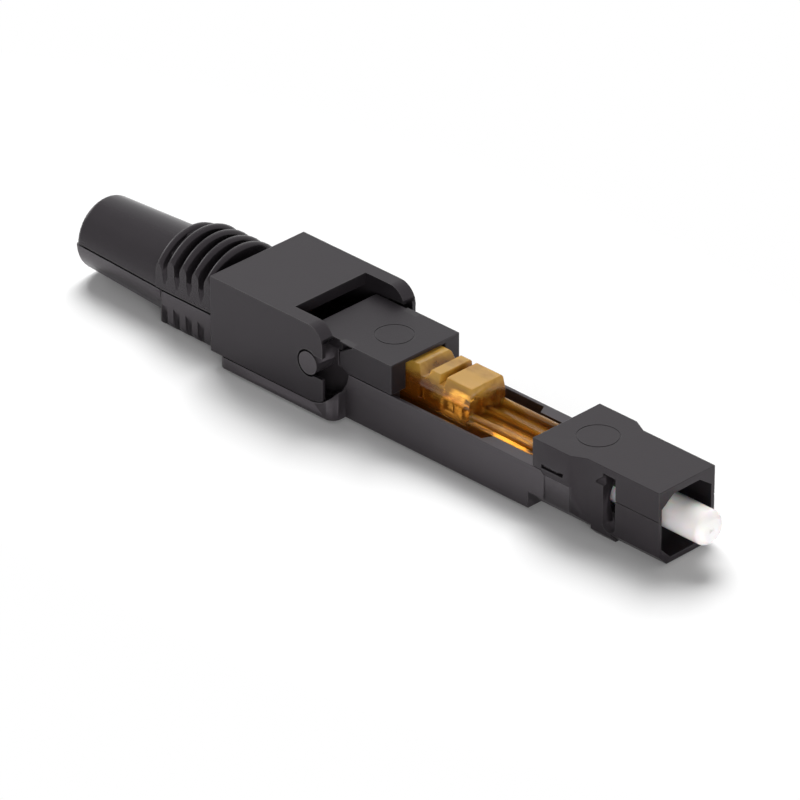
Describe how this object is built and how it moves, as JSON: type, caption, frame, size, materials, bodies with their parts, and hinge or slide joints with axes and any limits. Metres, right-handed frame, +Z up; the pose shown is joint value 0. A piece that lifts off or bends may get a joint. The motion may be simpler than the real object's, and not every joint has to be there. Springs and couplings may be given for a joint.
{
  "type": "field-fitted SC fibre connector",
  "caption": "Black field-fitted SC fibre plug: white ferrule in a square plug frame, amber splice holder under a lock slider, hinged rear cover and ribbed cable tail.",
  "frame": {"origin": "on the ferrule's axis, in the plane of the plug frame's front rim", "axes": "+X along the ferrule towards its tip, +Z up through the slider and cover, +Y to the left when looking along +X"},
  "size_m": [0.0579, 0.0088, 0.007],
  "materials": {
    "body_black": "fine satin moulded black",
    "cover_black": "fine satin moulded black, ribs glossier",
    "slider_black": "fine satin moulded black",
    "plug_black": "fine satin moulded black",
    "amber_base": "clear amber moulding, glossy",
    "amber_lid": "clear amber moulding, glossy",
    "zirconia": "polished white ceramic",
    "collar_metal": "turned, nickel plated",
    "spring_steel": "drawn wire",
    "fibre_glass": "clear"
  },
  "bodies": {
    "body": {"body": "body_black", "plug_frame": "plug_black", "ferrule_spring": "spring_steel"},
    "rear_cover": {"rear_cover": "cover_black"},
    "lock_slider": {"lock_slider": "slider_black"},
    "ferrule_unit": {"ferrule": "zirconia", "ferrule_collar": "collar_metal", "fibre_stub": "fibre_glass", "splice_base": "amber_base", "splice_lid": "amber_lid"}
  },
  "joints": [
    {"name": "rear_cover_hinge", "type": "hinge", "parent": "body", "child": "rear_cover", "pos_m": [-0.0307, 0, 0.00105], "axis": [0, 1, 0], "range_deg": [0, 90]},
    {"name": "slider_slide", "type": "slide", "parent": "body", "child": "lock_slider", "axis": [1, 0, 0], "range_m": [0, 0.0058]},
    {"name": "ferrule_float", "type": "slide", "parent": "body", "child": "ferrule_unit", "axis": [1, 0, 0], "range_m": [-0.001, 0], "stiffness_N_per_m": 1000, "springref_m": 0.006, "deforming": ["ferrule_spring"]}
  ]
}
